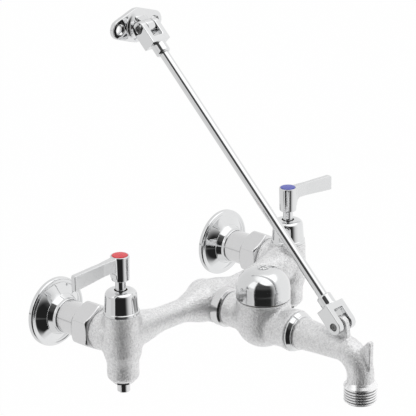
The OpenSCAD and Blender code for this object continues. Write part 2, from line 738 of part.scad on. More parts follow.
module spout() {
    color(cast_c) difference() {
        union() {
            at_outlet() turned_y([[0, socket_end + 1], [tail_fit_r - 0.2, socket_end + 1], [tail_fit_r,
                socket_end + 1.4],
                [tail_fit_r, socket_end + 6], [9.7, socket_end + 6], [9.7, socket_end + 8.4], [tail_fit_r,
                socket_end + 8.4],
                [tail_fit_r, ring_back - 0.5], [12.7, ring_back - 0.5], [12.7, ring_back - 0.1], [ring_r,
                ring_back - 0.1],
                [ring_r, ring_back + 1.7], [12.7, ring_back + 1.7], [12.7, outlet_front + 6.4],
                [spout_start_r, outlet_front + 6.4], [spout_start_r, outlet_front + 7.5],
                [spout_start_r - 0.4, outlet_front + 9.7], [spout_r + 0.9, bend_depth - 20],
                [spout_r + 0.3, bend_depth - 8], [spout_r, bend_depth], [0, bend_depth]]);
            translate([0, -bend_depth, bend_z]) rotate([90, 0, -90]) rotate_extrude(angle = 90)
                translate([elbow_r, 0]) circle(r = spout_r);
            translate([0, -outlet_depth, 0]) turned_z(concat([[0, hose_end], [hose_thread_r - 1.5, hose_end]],
                [for (i = [0:4]) for (q = [[-1.2, 0.1], [0, 0.75], [0, 1.35], [-1.2,
                2]]) [hose_thread_r + q[0], hose_end + 0.5 + i * hose_pitch + q[1]]],
                [[hose_thread_r - 1.2, hose_end + 12.2], [hose_thread_r + 0.2, hose_end + 12.7],
                [hose_thread_r + 0.2, hose_end + 14.3],
                [spout_r + 0.9, hose_end + 16.4], [spout_r, hose_end + 17.6], [spout_r, bend_z], [0, bend_z]]));
            tab(low_pin_depth, low_pin_height, 6.6, low_pin_depth - 11, low_pin_depth + 8.5, 2, lug_t);
            translate([0, -outlet_depth, 0]) side_plate(concat([[-13, outlet_z - 12], [10.6, outlet_z - 12],
                [10.7, outlet_z + 10]], arc(8.9, outlet_z + 10.8, 1.8, 0, 140, 6),
                [[3.4, outlet_z + 7.4], [0.6, outlet_z + 3.8], [-13, outlet_z - 2]]), hook_t);
        }
        at_outlet() bar_y(socket_end, bend_depth, spout_bore_r);
        translate([0, -bend_depth, bend_z]) rotate([90, 0, -90]) rotate_extrude(angle = 90)
            translate([elbow_r, 0]) circle(r = spout_bore_r);
        translate([0, -outlet_depth, 0]) {
            bar_z(hose_end - 1, bend_z, spout_bore_r);
            turned_z([[0, hose_end - 1], [10.2, hose_end - 1], [10.2, hose_end], [spout_bore_r,
                hose_end + 2.4], [0, hose_end + 2.4]]);
        }
        translate([0, -low_pin_depth, low_pin_height]) bar_x(-5, 5, pin_r + run_gap);
    }
}

// fork with its pin at the origin and its shank along +X of the brace, slot across the pin
module clevis() {
    difference() {
        union() {
            intersection() {
                translate([-7, -clevis_w / 2, -clevis_t / 2]) cube([24, clevis_w, clevis_t]);
                union() {
                    rotate([90, 0, 0]) translate([0, 0, -clevis_w / 2]) cylinder(h = clevis_w,
                        r = clevis_t / 2);
                    translate([0, -clevis_w / 2, -clevis_t / 2]) cube([17, clevis_w, clevis_t]);
                }
            }
            bar_x(17, 25.6, 6.2);
            bar_x(25.5, 26.4, 5.4);
        }
        translate([-9, -clevis_slot / 2, -9]) cube([20.5, clevis_slot, 18]);
        bar_x(10, 27, rod_r + 0.02);
        rotate([90, 0, 0]) translate([0, 0, -12]) cylinder(h = 24, r = pin_r + 0.05);
    }
}

// places children on the lower pin with +X along the brace and +Y across it
module on_brace() {
    translate([0, -low_pin_depth, low_pin_height]) rotate([rod_angle, 0, 0]) rotate([0, 0, 90]) children();
}

module lower_clevis() { color(polish_c) on_brace() clevis(); }

module upper_clevis() {
    color(polish_c) on_brace() translate([rod_span, 0, 0]) rotate([0, 0, 180]) clevis();
}

module brace_rod() {
    color(polish_c) on_brace() bar_x(13.5, rod_span - 13.5, rod_r);
}

// rivet with its head on the +X side
module brace_pin() {
    difference() {
        union() {
            rotate([0, 90, 0]) turned_z([[0, -9.5], [2.3, -9.5], [pin_r, -8.9], [pin_r, 10.1], [0, 10.1]]);
            rotate([0, 90, 0]) turned_z([[0, 10.1], [3.7, 10.1], [3.7, 12], [2.9, 12.7], [0, 12.8]]);
        }
        bar_x(-10, -9.1, 1.2);
    }
}

module lower_pin() { color(turned_c) translate([0, -low_pin_depth, low_pin_height]) brace_pin(); }

module upper_pin() { color(turned_c) translate([0, -top_pin_depth, top_pin_height]) brace_pin(); }

module wall_bracket() {
    half = bracket_spacing / 2;
    end_r = bracket_half - half;
    lean = acos((bracket_mid_r - end_r) / half);
    lug_r = 6.4;
    color(polish_c) difference() {
        union() {
            translate([0, 0, top_pin_height]) rotate([90, 0, 0]) linear_extrude(height = bracket_t)
                polygon(concat(
                arc(half, 0, end_r, -lean, lean, 14), arc(0, 0, bracket_mid_r, lean, 180 - lean, 5),
                arc(-half, 0, end_r, 180 - lean, 180 + lean, 14), arc(0, 0, bracket_mid_r, 180 + lean,
                360 - lean, 5)));
            translate([0, 0, top_pin_height]) turned_y([[0, bracket_t - 0.5], [12.8, bracket_t - 0.5],
                [12.4, bracket_t + 0.2], [11, bracket_t + 1.3], [8.5, bracket_t + 2.4], [6, bracket_t + 3],
                [0, bracket_t + 3.2]]);
            side_plate(concat([[bracket_t - 0.5, top_pin_height + 9], [bracket_t - 0.5, top_pin_height - 9]],
                arc(top_pin_depth, top_pin_height, lug_r, -103, 103, 16)), bracket_lug_w);
        }
        translate([0, 0, top_pin_height]) for (s = [-1, 1]) {
            translate([s * half, 0, 0]) {
                bar_y(-1, bracket_t + 1, bracket_hole_r);
                turned_y([[0, bracket_t - 1.6], [bracket_hole_r, bracket_t - 1.6],
                    [bracket_hole_r + 2.7, bracket_t + 1], [0, bracket_t + 1]]);
            }
        }
        translate([0, -top_pin_depth, top_pin_height]) bar_x(-6, 6, pin_r + run_gap);
    }
}

body_casting();
flange_hot();
flange_cold();
coupling_hot();
coupling_cold();
coupling_nut_hot();
coupling_nut_cold();
coupling_washer_hot();
coupling_washer_cold();
cartridge_hot();
cartridge_cold();
seat_seal_hot();
seat_seal_cold();
fixed_disc_hot();
fixed_disc_cold();
moving_disc_hot();
moving_disc_cold();
stem_hot();
stem_cold();
stem_ring_hot();
stem_ring_cold();
bonnet_hot();
bonnet_cold();
handle_hot();
handle_cold();
handle_screw_hot();
handle_screw_cold();
index_button_hot();
index_button_cold();
stop_plug_hot();
stop_plug_cold();
stop_screw_hot();
stop_screw_cold();
stop_washer_hot();
stop_washer_cold();
union_ring();
union_gasket();
union_tail();
breaker_body();
breaker_insert();
breaker_poppet();
poppet_seal();
vent_washer();
breaker_dome();
dome_screw();
dome_set_screw();
spout_nut();
split_ring();
spout_ring();
spout();
lower_clevis();
brace_rod();
upper_clevis();
lower_pin();
upper_pin();
wall_bracket();
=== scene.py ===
"""Looks of the service sink faucet, dressed round its packed frame.

The file is laid out as a Blender add-on and is run as a script. Lengths are in metres, in the
frame of the packed model: +X along the wall to the right, +Y into the wall, +Z up.
"""

import math

import bmesh
import bpy
import numpy as np
from mathutils import Matrix, Vector


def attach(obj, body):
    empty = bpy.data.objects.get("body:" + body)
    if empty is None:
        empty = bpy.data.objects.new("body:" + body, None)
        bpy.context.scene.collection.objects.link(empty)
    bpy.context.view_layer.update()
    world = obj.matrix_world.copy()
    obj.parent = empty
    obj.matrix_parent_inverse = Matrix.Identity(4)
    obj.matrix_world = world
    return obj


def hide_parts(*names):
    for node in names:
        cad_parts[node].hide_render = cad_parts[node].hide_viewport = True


bl_info = {
    "name": "Service sink faucet",
    "version": (1, 0, 0),
    "blender": (4, 5, 0),
    "location": "View3D > Sidebar > Faucet",
    "description": "Gives the packed faucet its finishes and sets it in a pale studio",
    "category": "Object",
}

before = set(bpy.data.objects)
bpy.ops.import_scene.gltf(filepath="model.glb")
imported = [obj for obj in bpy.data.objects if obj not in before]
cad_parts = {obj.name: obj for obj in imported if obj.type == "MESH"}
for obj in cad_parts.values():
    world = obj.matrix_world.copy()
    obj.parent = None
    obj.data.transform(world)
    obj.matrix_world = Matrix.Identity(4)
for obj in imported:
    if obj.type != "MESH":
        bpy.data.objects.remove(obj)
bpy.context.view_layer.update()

MM = 0.001
SIDES = ("hot", "cold")
# Depths are measured from the wall and sizes on the piece, both in millimetres.
VALVE_X = 101.6
VALVE_DEPTH = 78
BREAKER_DEPTH = 138.2
OUTLET_DEPTH = 239
OUTLET_DROP = 2
HOSE_PITCH = 2.209
HOSE_END = -42.8


def both(*names):
    """Each name with its hot and its cold ending."""
    return [f"{name}_{side}" for name in names for side in SIDES]


POLISHED = both("flange", "bonnet", "handle", "handle_screw", "stem") + [
    "breaker_dome", "dome_screw", "spout_nut", "lower_clevis", "brace_rod", "upper_clevis",
    "wall_bracket"]
TURNED = both("coupling", "coupling_nut", "stop_plug", "stop_screw") + [
    "union_ring", "union_tail", "dome_set_screw", "split_ring"]
PINS = ["lower_pin", "upper_pin"]
RUBBER = both("coupling_washer", "seat_seal", "stem_ring", "stop_washer") + [
    "union_gasket", "spout_ring", "poppet_seal", "vent_washer"]
CERAMIC = both("fixed_disc", "moving_disc")
BRASS = both("cartridge") + ["breaker_insert", "breaker_poppet"]


# Shader expressions


class Value:
    """A socket that Python's operators turn into Math nodes."""

    def __init__(self, graph, socket):
        self.graph = graph
        self.socket = socket

    def math(self, operation, *others):
        """A Math node with this value first."""
        return self.graph.node("ShaderNodeMath", {"operation": operation}, [self, *others])

    def turned(self, operation, other):
        """A Math node with this value second."""
        return self.graph.node("ShaderNodeMath", {"operation": operation}, [other, self])

    def __add__(self, other):
        return self.math("ADD", other)

    def __radd__(self, other):
        return self.turned("ADD", other)

    def __sub__(self, other):
        return self.math("SUBTRACT", other)

    def __rsub__(self, other):
        return self.turned("SUBTRACT", other)

    def __mul__(self, other):
        return self.math("MULTIPLY", other)

    def __rmul__(self, other):
        return self.turned("MULTIPLY", other)

    def __pow__(self, other):
        return self.math("POWER", other)


class Graph:
    """A node tree, with one method for every node that isn't arithmetic."""

    def __init__(self, owner):
        owner.use_nodes = True
        self.tree = owner.node_tree
        self.tree.nodes.clear()

    def node(self, kind, settings=None, values=(), output=0):
        """Adds a node, sets its settings first and then its sockets, and returns one output."""
        made = self.tree.nodes.new(kind)
        for key, setting in (settings or {}).items():
            setattr(made, key, setting)
        pairs = values.items() if isinstance(values, dict) else enumerate(values)
        for key, value in pairs:
            if isinstance(value, Value):
                self.tree.links.new(value.socket, made.inputs[key])
            elif value is not None:
                made.inputs[key].default_value = value
        return Value(self, made.outputs[output]) if made.outputs else None

    def spread(self, value, low, high, to_low, to_high, soft=False):
        """A value remapped and held between two limits."""
        kind = "SMOOTHSTEP" if soft else "LINEAR"
        return self.node("ShaderNodeMapRange", {"clamp": True, "interpolation_type": kind},
                         [value, low, high, to_low, to_high])

    def split(self, vector):
        """The X, Y and Z of a vector."""
        apart = self.tree.nodes.new("ShaderNodeSeparateXYZ")
        self.tree.links.new(vector.socket, apart.inputs[0])
        return [Value(self, apart.outputs[k]) for k in range(3)]

    def mix(self, share, first, second):
        """Two colours mixed by a share."""
        return self.node("ShaderNodeMix", {"data_type": "RGBA"}, {
            0: share, 6: first, 7: second}, output=2)


class Finish(Graph):
    """A material made of nodes."""

    def __init__(self, name):
        self.material = bpy.data.materials.new(name)
        super().__init__(self.material)

    def place(self, scale=(1.0, 1.0, 1.0), at=(0.0, 0.0, 0.0)):
        """Object coordinates in metres, moved to a centre and then scaled."""
        where = self.node("ShaderNodeTexCoord", output="Object")
        moved = self.node("ShaderNodeVectorMath", {"operation": "SUBTRACT"}, [where, at])
        return self.node("ShaderNodeVectorMath", {"operation": "MULTIPLY"}, [moved, scale])

    def noise(self, where, size, detail=2.0, rough=0.5):
        """Cloudy noise whose features are about size metres across."""
        return self.node("ShaderNodeTexNoise", {}, {
            "Vector": where, "Scale": 1.0 / size, "Detail": detail, "Roughness": rough})

    def bump(self, height, strength, depth):
        """A normal from a height in units of depth metres."""
        return self.node("ShaderNodeBump", {}, {
            "Strength": strength, "Distance": depth, "Height": height})

    def surface(self, **values):
        """The principled surface, with names such as base_color for its sockets."""
        named = {key.replace("_", " ").title(): value for key, value in values.items()}
        shader = self.node("ShaderNodeBsdfPrincipled", {}, named)
        self.node("ShaderNodeOutputMaterial", {}, {"Surface": shader})
        return self.material


def tone(shade):
    """A grey number or a colour as four numbers."""
    if isinstance(shade, (int, float)):
        return (shade, shade, shade, 1.0)
    return (*shade[:3], 1.0)


# Meshes and pieces


def dress(names, material):
    """Gives carried-over nodes their finish."""
    for name in names:
        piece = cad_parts[name]
        piece.data.materials.clear()
        piece.data.materials.append(material)


def stand_in(piece, material, body, slot, *nodes):
    """Puts a finished piece in the place of the nodes that it stands for."""
    piece.data.materials.clear()
    piece.data.materials.append(material)
    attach(piece, body)
    if nodes:
        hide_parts(*nodes)


def eased(points, cut, steps=6):
    """An outline with its corners eased. Near each corner P the line becomes
    (1-t)^2 A + 2t(1-t) P + t^2 B, with A and B at most cut before and after P, and one more point
    close outside A and B keeps the straight sides flat. It is open if it starts on the axis."""
    corner = np.array([point[:2] for point in points], float)
    reach = np.array([point[2] if len(point) > 2 else cut for point in points])
    before, after = np.roll(corner, 1, 0) - corner, np.roll(corner, -1, 0) - corner
    if corner[0, 0] == 0:
        before[0], after[-1] = 0, 0
    length = np.linalg.norm([before, after], axis=2)
    reach = np.minimum(reach, 0.45 * length.min(0))
    guard = np.minimum(0.12, 0.03 * length)
    unit = np.stack([before, after]) / np.maximum(length, 1e-9)[:, :, None]
    first, last = corner + unit[0] * reach[:, None], corner + unit[1] * reach[:, None]
    t = np.linspace(0, 1, steps)[None, :, None]
    curve = (1 - t) ** 2 * first[:, None] + 2 * t * (1 - t) * corner[:, None]
    curve = curve + t ** 2 * last[:, None]
    line = np.concatenate([(first + unit[0] * guard[0][:, None])[:, None], curve,
                           (last + unit[1] * guard[1][:, None])[:, None]], 1).reshape(-1, 2)
    return line[np.linalg.norm(line - np.roll(line, 1, 0), axis=1) > 1e-5]


def shell(name, points, faces):
    """A smooth closed mesh from an array of points in millimetres and an array of faces."""
    mesh = bpy.data.meshes.new(name)
    mesh.from_pydata((points * MM).tolist(), [], faces.tolist())
    work = bmesh.new()
    work.from_mesh(mesh)
    bmesh.ops.remove_doubles(work, verts=work.verts, dist=1e-7)
    bmesh.ops.recalc_face_normals(work, faces=work.faces)
    work.to_mesh(mesh)
    work.free()
    mesh.shade_smooth()
    piece = bpy.data.objects.new(name, mesh)
    bpy.context.scene.collection.objects.link(piece)
    return piece


def turned(name, points, centre, along, cut=0.3, turns=160):
    """A surface of revolution. A point (r, a) of the eased outline goes to
    centre + a * along + r * (cos t * side + sin t * other), for t once round the axis."""
    line = eased(points, cut)
    along = np.array(along, float)
    side = np.roll(along, 1)
    other = np.cross(along, side)
    t = np.linspace(0, 2 * math.pi, turns, endpoint=False)[None, :, None]
    ring = np.cos(t) * side + np.sin(t) * other
    place = np.array(centre) + line[:, 1, None, None] * along + line[:, 0, None, None] * ring
    rows = len(line) - (line[0, 0] == 0)
    i, j = (k.ravel() for k in np.meshgrid(np.arange(rows), np.arange(turns), indexing="ij"))
    ahead, beside = (i + 1) % len(line), (j + 1) % turns
    faces = np.stack([
        i * turns + j, i * turns + beside, ahead * turns + beside, ahead * turns + j], 1)
    return shell(name, place.reshape(-1, 3), faces)


def softened(node, cell, passes, loose, inward=0.3):
    """A casting with soft corners. The merged copy of a node is cut into even cells, and then each
    point moves to the mean of its neighbours: wholly where that is outwards, so that inner corners
    fill up, and by the share inward where it isn't, so that edges only dull. loose(x, y, z) in
    millimetres is 0 on machined faces, which stay as they are, and 1 elsewhere."""
    mesh = bpy.data.meshes.new(f"{node}_soft")
    work = bmesh.new()
    work.from_mesh(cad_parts[node].data)
    bmesh.ops.remove_doubles(work, verts=work.verts, dist=1e-6)
    work.to_mesh(mesh)
    work.free()
    piece = bpy.data.objects.new(f"{node}_soft", mesh)
    bpy.context.scene.collection.objects.link(piece)
    cells = piece.modifiers.new("cells", "REMESH")
    cells.mode = "VOXEL"
    cells.voxel_size = cell * MM
    view = bpy.context.evaluated_depsgraph_get()
    mesh = bpy.data.meshes.new_from_object(piece.evaluated_get(view))
    piece.modifiers.clear()
    piece.data = mesh
    count = len(mesh.vertices)
    place, normal = np.empty(3 * count, np.float32), np.empty(3 * count, np.float32)
    ends = np.empty(2 * len(mesh.edges), np.int32)
    mesh.vertices.foreach_get("co", place)
    mesh.vertex_normals.foreach_get("vector", normal)
    mesh.edges.foreach_get("vertices", ends)
    place, normal = place.reshape(-1, 3).astype(float), normal.reshape(-1, 3)
    a, b = np.concatenate([ends.reshape(-1, 2), ends.reshape(-1, 2)[:, ::-1]]).T
    near = np.bincount(a, minlength=count)[:, None]
    free = loose(*(place.T / MM)).astype(float)[:, None]
    for _ in range(passes):
        mean = np.stack([np.bincount(a, place[b, k], count) for k in range(3)], 1) / near
        step = mean - place
        rise = (step * normal).sum(1, keepdims=True)
        place += 0.6 * free * (step + normal * (np.where(rise > 0, rise, inward * rise) - rise))
    mesh.vertices.foreach_set("co", place.astype(np.float32).ravel())
    mesh.update()
    mesh.shade_smooth()
    return piece


# Studio


def room(graph):
    """The pale room that the metal mirrors: a bright ceiling, pale walls, a dark opening behind
    the camera and a white backdrop for the camera itself. Bearings are degrees from -Y to +X."""
    way = graph.node("ShaderNodeTexCoord", output="Generated")
    x, y, z = graph.split(way)
    degrees = 180 / math.pi
    bearing = x.math("ARCTAN2", y * -1.0) * degrees
    height = z.math("ARCSINE") * degrees

    def band(value, low, low_full, high_full, high):
        """1 between the two middle limits, falling smoothly to 0 at the outer ones."""
        return graph.spread(value, low, low_full, 0, 1, True) * graph.spread(
            value, high_full, high, 1, 0, True)

    over = band(bearing, -80, -72, 92, 104)
    light = 0.69 + 0.15 * band(bearing, 8, 35, 90, 170)
    light = light - 0.08 * band(bearing, -122, -114, -98, -90) * band(height, -36, -28, 2, 8)
    light = light + 0.36 * band(bearing, -128, -117, -92, -86) * band(height, 18, 28, 54, 64)
    light = light + 0.42 * over * graph.spread(height, 40, 54, 0, 1, True)
    light = light + 0.40 * (1 - over) * graph.spread(height, 58, 78, 0, 1, True)
    light = light - 0.40 * band(bearing, -152, -142, -126, -116) * band(height, -6, -4, -3, -1)
    top = 37.5 - 0.32 * bearing
    dark = band(bearing, -88.5, -86, -20, 14) * graph.spread(height - top, -2, 2, 1, 0, True)
    dark = dark * graph.spread(height, -66, -58, 0, 1, True)
    glow = 0.016 + 0.045 * graph.spread(height, 14, 32, 0, 1, True)
    glow = glow + 0.045 * graph.spread(height, 40, 55, 0, 1, True)
    glow = glow + graph.spread(bearing, -80, -20, 0.01, 0.055) * band(height, -22, -20, -18, -15.5)
    light = 1.2 * (light * (1 - dark) + glow * dark)
    path = graph.tree.nodes.new("ShaderNodeLightPath")
    seen = Value(graph, path.outputs["Is Camera Ray"])
    shade = graph.mix(seen, tone(0.0), tone(1.0))
    mirrored = graph.node("ShaderNodeBackground", {}, {"Color": tone(1.0), "Strength": light})
    white = graph.node("ShaderNodeBackground", {}, {"Color": shade, "Strength": 1.0})
    both_ways = graph.node("ShaderNodeMixShader", {}, [seen, mirrored, white])
    graph.node("ShaderNodeOutputWorld", {}, {"Surface": both_ways})


def floor():
    """A pale floor well below the faucet. It stays white to the camera and keeps a soft shadow."""
    side, low = 3.0, -0.32
    mesh = bpy.data.meshes.new("floor")
    mesh.from_pydata([(x, y, low) for x, y in ((-side, -side), (side, -side), (side, side),
                                               (-side, side))], [], [(0, 1, 2, 3)])
    plane = bpy.data.objects.new("floor", mesh)
    bpy.context.scene.collection.objects.link(plane)
    paint = Finish("pale_floor")
    diffuse = paint.node("ShaderNodeBsdfDiffuse", {}, {"Color": tone(0.9)})
    glow = paint.node("ShaderNodeEmission", {}, {"Color": tone(1.0), "Strength": 1.0})
    path = paint.tree.nodes.new("ShaderNodeLightPath")
    seen = Value(paint, path.outputs["Is Camera Ray"])
    mixed = paint.node("ShaderNodeMixShader", {}, [seen * 0.97, diffuse, glow])
    below = paint.node("ShaderNodeNewGeometry", output="Backfacing")
    clear = paint.node("ShaderNodeBsdfTransparent", {}, {"Color": tone(1.0)})
    sided = paint.node("ShaderNodeMixShader", {}, [below, mixed, clear])
    paint.node("ShaderNodeOutputMaterial", {}, {"Surface": sided})
    mesh.materials.append(paint.material)
    plane.visible_glossy = False


# Settings


class CameraLook(bpy.types.PropertyGroup):
    """The view of the photograph."""

    azimuth: bpy.props.FloatProperty(
        name="Azimuth", description="Turn of the view round the vertical",
        default=math.radians(-47.26532594), subtype="ANGLE")
    elevation: bpy.props.FloatProperty(
        name="Elevation", description="Height of the view above the horizon",
        default=math.radians(20.64231431), subtype="ANGLE")
    roll: bpy.props.FloatProperty(
        name="Roll", description="Lean of the view about its axis",
        default=math.radians(-0.82070756), subtype="ANGLE")
    distance: bpy.props.FloatProperty(
        name="Distance", description="Distance from the aim to the camera",
        default=1.66864687, min=0.2, unit="LENGTH")
    aim: bpy.props.FloatVectorProperty(
        name="Aim", description="Point at the middle of the view", size=3,
        default=(-0.00113736734, -0.08, 0.0804609076), subtype="TRANSLATION")
    lens: bpy.props.FloatProperty(
        name="Lens", description="Focal length on a 36 mm sensor", default=177.404, min=20)


class MetalLook(bpy.types.PropertyGroup):
    """Finishes of the metal pieces."""

    cast: bpy.props.FloatVectorProperty(
        name="Cast metal", description="Colour of the plated castings", size=3,
        default=(0.97, 0.97, 0.975), subtype="COLOR")
    chrome: bpy.props.FloatVectorProperty(
        name="Chrome", description="Colour of the polished chrome", size=3,
        default=(0.765, 0.77, 0.775), subtype="COLOR")
    turned: bpy.props.FloatVectorProperty(
        name="Turned metal", description="Colour of the turned pieces", size=3,
        default=(0.76, 0.76, 0.765), subtype="COLOR")
    grain: bpy.props.FloatProperty(
        name="Grain", description="Size of the casting's grain", default=1.0 * MM,
        min=0.1 * MM, unit="LENGTH")


class IndexLook(bpy.types.PropertyGroup):
    """Colours of the index buttons."""

    hot: bpy.props.FloatVectorProperty(
        name="Hot", description="Colour of the hot button", size=3,
        default=(0.80, 0.035, 0.05), subtype="COLOR")
    cold: bpy.props.FloatVectorProperty(
        name="Cold", description="Colour of the cold button", size=3,
        default=(0.08, 0.10, 0.50), subtype="COLOR")


# Operators


class FAUCET_OT_castings(bpy.types.Operator):
    """Make the satin plated castings"""

    bl_idname = "faucet.castings"
    bl_label = "Castings"

    def execute(self, context):
        look = context.scene.faucet_metal
        f = Finish("cast_satin")
        where = f.place()
        grain = f.noise(where, look.grain, 3.0, 0.6)
        speck = f.noise(where, 2.0 * look.grain, 2.0, 0.5)
        patch = f.noise(where, 16 * MM, 2.0, 0.5)
        shade = f.spread(grain * 0.5 + speck * 0.5, 0.38, 0.62, 0.0, 1.0)
        colour = f.mix(shade, tone([c * 0.76 for c in look.cast]), tone(look.cast))
        rough = f.spread(patch, 0.3, 0.7, 0.30, 0.40)
        normal = f.bump(grain + speck, 1.0, 0.4 * MM)
        material = f.surface(base_color=colour, metallic=0.66, roughness=rough, normal=normal)

        def body(x, y, z):
            """1 on the outside of the valves, arms and hub, 0 in bores and on machined faces."""
            across = abs(x) - VALVE_X
            barrel = np.hypot(across, y + VALVE_DEPTH)
            arm = np.hypot(y + VALVE_DEPTH, z + OUTLET_DROP * (1 - abs(x) / VALVE_X))
            hub = np.hypot(x, z + OUTLET_DROP)
            held = (barrel < 11.9) | ((barrel < 20) & (z > 19.4)) | (y > -57.5)
            held |= ((np.hypot(across, z) < 9.4) & (y > -64)) | ((arm < 7.4) & (abs(x) < 90))
            return ~(held | (y < -91.2) | ((hub < 10.5) & (y < -64)))

        def breaker(x, y, z):
            """1 on the outside of the bulb, tail and outlet, 0 in bores and on machined faces."""
            above = z + OUTLET_DROP
            inside = np.hypot(x, above) < np.where(y < -158, 13, np.where(y > -120, 12.2, 0))
            inside |= np.sqrt(
                x ** 2 + (y + BREAKER_DEPTH) ** 2 + np.minimum(above, 0) ** 2) < 18.6
            return ~(inside | (z > 16.4) | (y > -105) | (y < -172.4))

        def spout(x, y, z):
            """1 on the outside of the tube, lug and hook, 0 on the bore, thread and pin hole."""
            bend = np.hypot(y + 220, z + 21) - 19
            straight = np.where(z > -21, abs(z + OUTLET_DROP), abs(y + OUTLET_DEPTH))
            level = np.where((y < -220) & (z > -21), abs(bend), straight)
            pin = np.hypot(y + 219.2, z - 17.5)
            return ~((np.hypot(x, level) < 9) | (z < -24.5) | (y > -182) | (pin < 4.3))

        for name, cell, passes, loose in (
                ("body_casting", 0.8, 40, body), ("breaker_body", 0.55, 50, breaker),
                ("spout", 0.5, 30, spout)):
            piece = softened(name, cell, passes, loose, 0.12)
            stand_in(piece, material, "faucet", "cast_satin", name)
        return {"FINISHED"}


class FAUCET_OT_thread(bpy.types.Operator):
    """Cut the hose thread on the spout's end"""

    bl_idname = "faucet.thread"
    bl_label = "Hose thread"

    def execute(self, context):
        look = context.scene.faucet_metal
        f = Finish("thread_painted_groove_shade")
        stretch = 6.0
        axis = OUTLET_DEPTH * MM
        where = f.place((1.0, 1.0, stretch), (0.0, -axis, 0.0))
        x, y, z = f.split(where)
        fine = f.noise(where, 1.5 * MM, 3.0)
        # Painted shade: below 12.9 mm radius the thread darkens to grey 0.22 in its grooves,
        # standing in for the shade in the roots. The crests and the spout's end beyond the thread
        # keep the cast colour.
        clear_of_painted_shade = f.spread((x ** 2.0 + y ** 2.0) ** 0.5, 12.0 * MM, 12.9 * MM, 0.0, 1.0)
        above = f.spread(z, -stretch * 30.8 * MM, -stretch * 30.5 * MM, 0.0, 1.0)
        clear_of_painted_shade = clear_of_painted_shade.math("MAXIMUM", above)
        colour = f.mix(clear_of_painted_shade * (0.85 + 0.3 * fine), tone(0.22), tone(look.cast))
        material = f.surface(
            base_color=colour, metallic=0.9, roughness=f.spread(fine, 0.3, 0.7, 0.2, 0.32),
            normal=f.bump(fine, 0.3, 0.04 * MM))
        turn = np.arange(5)[:, None, None]
        tooth = np.array([(12, 0.1), (13.2, 0.75), (13.2, 1.35), (12, 2)])
        teeth = (tooth + turn * (0, HOSE_PITCH) + (0, HOSE_END + 0.5)).reshape(-1, 2)
        sleeve = turned("hose_thread_sleeve", [
            (10.6, HOSE_END), (11.7, HOSE_END), *teeth.tolist(), (12, -30.6), (13.4, -30.1),
            (13.45, -28.5), (11.75, -26.3), (10.95, -25), (10.6, -25)],
            (0, -OUTLET_DEPTH, 0), (0, 0, 1), 0.12)
        stand_in(sleeve, material, "faucet", "cast_satin")

        # Under the sleeve the spout's end is drawn in, so that the two don't coincide.
        mesh = bpy.data.objects["spout_soft"].data
        place = np.empty(3 * len(mesh.vertices), np.float32)
        mesh.vertices.foreach_get("co", place)
        place = place.reshape(-1, 3)
        radius = np.hypot(place[:, 0], place[:, 1] + axis)
        under = (place[:, 2] < -0.0253) & (radius > 0.0104)
        share = np.where(under, 0.0108 / np.maximum(radius, 1e-6), 1.0)
        place[:, 0] *= share
        place[:, 1] = (place[:, 1] + axis) * share - axis
        mesh.vertices.foreach_set("co", place.ravel())
        mesh.update()
        return {"FINISHED"}


